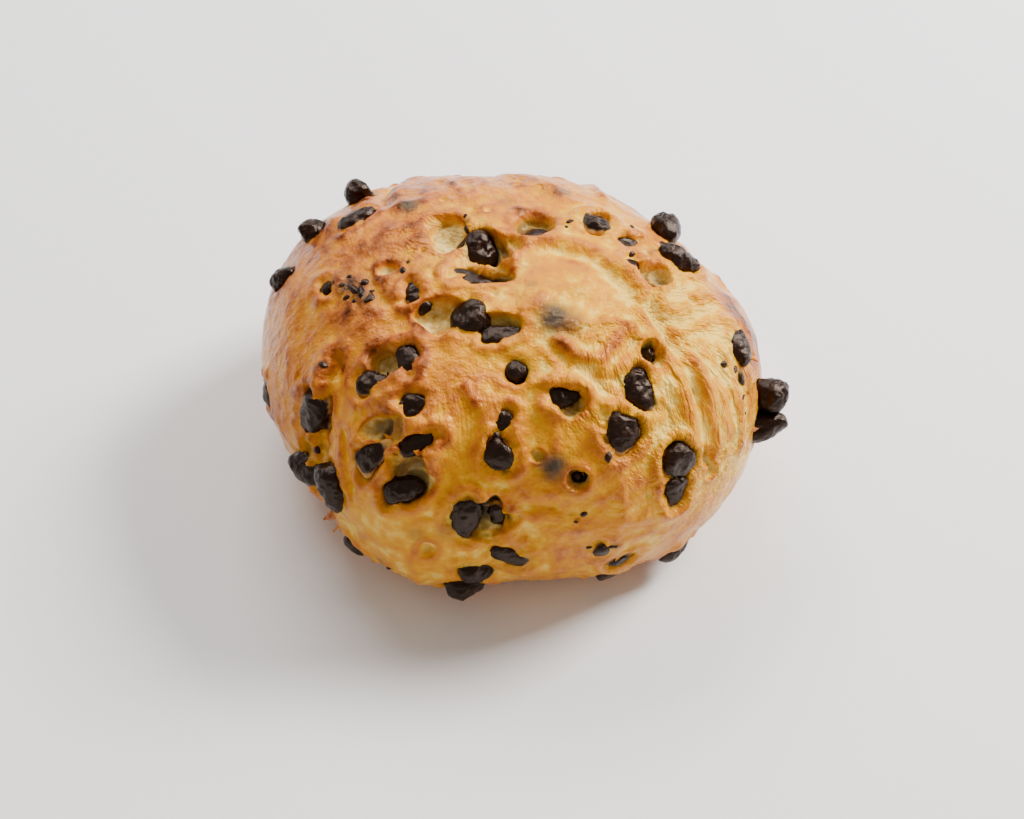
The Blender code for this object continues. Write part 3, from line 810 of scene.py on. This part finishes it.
crumbs = bmesh.new()
for number, (bearing, lift, length, width) in enumerate(CRUMBS):
    spot, normal, _, _ = crust_tree.find_nearest(Vector(skin_point(bearing, lift)))
    ball, round_places = new_ball()
    rough = 1 + 0.34 * cloud(round_places, 0.42, 200 + number)
    rough += 0.16 * cloud(round_places, 0.16, 300 + number)
    turn = GOLDEN_TURN * number
    along = Vector((math.cos(turn), math.sin(turn), 0.2))
    along = (along - along.dot(normal) * normal).normalized()
    across = normal.cross(along)
    axes = np.array([along * length, across * width, normal * width * 0.8])
    middle = np.array(spot - normal * width * (CRUMB_SUNK - 0.25))
    put_bit(ball, (round_places * rough[:, None]) @ axes + middle, crumbs)
crumb_mesh = mesh_of(crumbs, "chocolate_crumbs")
crumb_film = np.clip(0.25 + 0.5 * cloud(points_of(crumb_mesh), 1.3, 90), 0, 1) * 0.5
set_attribute(crumb_mesh, "film", crumb_film)
add_piece("chocolate_crumbs", crumb_mesh, chocolate, "chocolate")

# ---------------------------------------------------------------------------------------------------------
# Torn flakes of crust. Thin tips of the same dough that tore off the edges of the holes as it rose, curled
# away from the bun and baked hard and brown.

FLAKES = (  # bearing, lift, length, width (mm), and how far it turns from pointing straight out (degrees)
    (310, -9, 6.0, 2.6, 55), (312, -12, 3.6, 1.6, 95), (306, 3, 3.4, 1.8, 120), (81, 17, 4.2, 2.0, 40),
    (69, 6, 3.0, 1.4, 150), (297, 9, 3.2, 1.5, 200), (333, 26, 3.4, 1.4, 230), (329, 23, 2.6, 1.2, 300),
    (27, -9, 3.0, 1.4, 90), (324, 27, 3.0, 1.3, 30), (176, -7, 3.2, 1.6, 80), (218, -9, 3.0, 1.5, 140),
)
FLAKE_THICKNESS = 0.3  # as a share of its width
FLAKE_TAPER = 0.75  # how much narrower its tip is than its root

flakes = bmesh.new()
for number, (bearing, lift, length, width, turn) in enumerate(FLAKES):
    spot, normal, _, _ = crust_tree.find_nearest(Vector(skin_point(bearing, lift)))
    side = normal.cross(Vector((0, 0, 1))).normalized()
    lean = side * math.cos(math.radians(turn)) + normal.cross(side) * math.sin(math.radians(turn))
    along = (normal * 0.55 + lean * 0.85).normalized()
    across = along.cross(normal).normalized()
    ball, flat = new_ball()
    taper = 1 - FLAKE_TAPER * ease(flat[:, 0], -0.3, 0.5)
    flat[:, 1] *= taper * (1 + 0.5 * cloud(flat, 0.3, 400 + number))
    curl = 0.5 * flat[:, 0] ** 2
    flat[:, 2] = flat[:, 2] * FLAKE_THICKNESS * taper + curl + 0.12 * cloud(flat, 0.35, 420 + number)
    axes = np.array([along * length, across * width, along.cross(across) * width])
    put_bit(ball, flat @ axes + np.array(spot + along * length * 0.28), flakes)
flake_mesh = mesh_of(flakes, "torn_flakes")
flake_places = points_of(flake_mesh)
set_attribute(flake_mesh, "bake", np.clip(0.6 + 0.3 * cloud(flake_places, 1.8, 95), 0, 1))
for name in ("crumb", "smear", "shadow", "wrinkled", "hollow_shade"):
    set_attribute(flake_mesh, name, np.zeros(len(flake_places)))
set_grain(flake_mesh, flake_places)
add_piece("torn_flakes", flake_mesh, baked, "crust")

# ---------------------------------------------------------------------------------------------------------
# The floor, the light and the camera. A pale, plain floor under soft studio light: a window high on the
# right, a dimmer panel of sky behind, and an even light all round for the shadows.

FLOOR_HALF = 1.6
FLOOR_COLOUR = (0.82, 0.82, 0.82, 1)
FLOOR_ROUGHNESS = 0.75
FLOOR_DROP = 0.0002  # how far the floor lies under the bun, so that their faces do not fight
floor_form = bmesh.new()
bmesh.ops.create_grid(floor_form, x_segments=1, y_segments=1, size=FLOOR_HALF)
floor_mesh = mesh_of(floor_form, "floor")
pale = bpy.data.materials.new("pale_floor")
pale.use_nodes = True
floor_shader = pale.node_tree.nodes["Principled BSDF"]
floor_shader.inputs["Base Color"].default_value = FLOOR_COLOUR
floor_shader.inputs["Roughness"].default_value = FLOOR_ROUGHNESS
floor_mesh.materials.append(pale)
floor = bpy.data.objects.new("floor", floor_mesh)
floor.location.z = -FLOOR_DROP
bpy.context.scene.collection.objects.link(floor)

world = bpy.data.worlds.new("studio")
world.use_nodes = True
all_round = world.node_tree.nodes["Background"]
all_round.inputs["Color"].default_value = (1.0, 0.89, 0.80, 1)
all_round.inputs["Strength"].default_value = 0.53
bpy.context.scene.world = world

LIGHT_AIM = Vector((0, 0, 0.03))


def add_light(name, place, width, height, power, colour):
    light = bpy.data.lights.new(name, "AREA")
    light.shape = "RECTANGLE"
    light.size, light.size_y = width, height
    light.energy = power
    light.color = colour
    lamp = bpy.data.objects.new(name, light)
    lamp.location = place
    lamp.rotation_euler = (LIGHT_AIM - Vector(place)).to_track_quat("-Z", "Y").to_euler()
    bpy.context.scene.collection.objects.link(lamp)


add_light("window", (0.85, 0.45, 0.80), width=0.42, height=0.4, power=37, colour=(1.0, 0.98, 0.96))
add_light("sky_panel", (-0.22, 0.72, 0.9), width=0.8, height=0.4, power=13, colour=(0.98, 0.98, 1.0))

CAMERA_RISE = math.radians(50)
CAMERA_DISTANCE = 0.50
CAMERA_AIM = Vector((0, -0.003, 0.018))
camera_lens = bpy.data.cameras.new("camera")
camera_lens.lens = 69.8
camera_lens.clip_start = 0.01
camera = bpy.data.objects.new("camera", camera_lens)
camera.location = CAMERA_AIM + CAMERA_DISTANCE * Vector((0, -math.cos(CAMERA_RISE), math.sin(CAMERA_RISE)))
camera.rotation_euler = (CAMERA_AIM - camera.location).to_track_quat("-Z", "Y").to_euler()
bpy.context.scene.collection.objects.link(camera)
bpy.context.scene.camera = camera
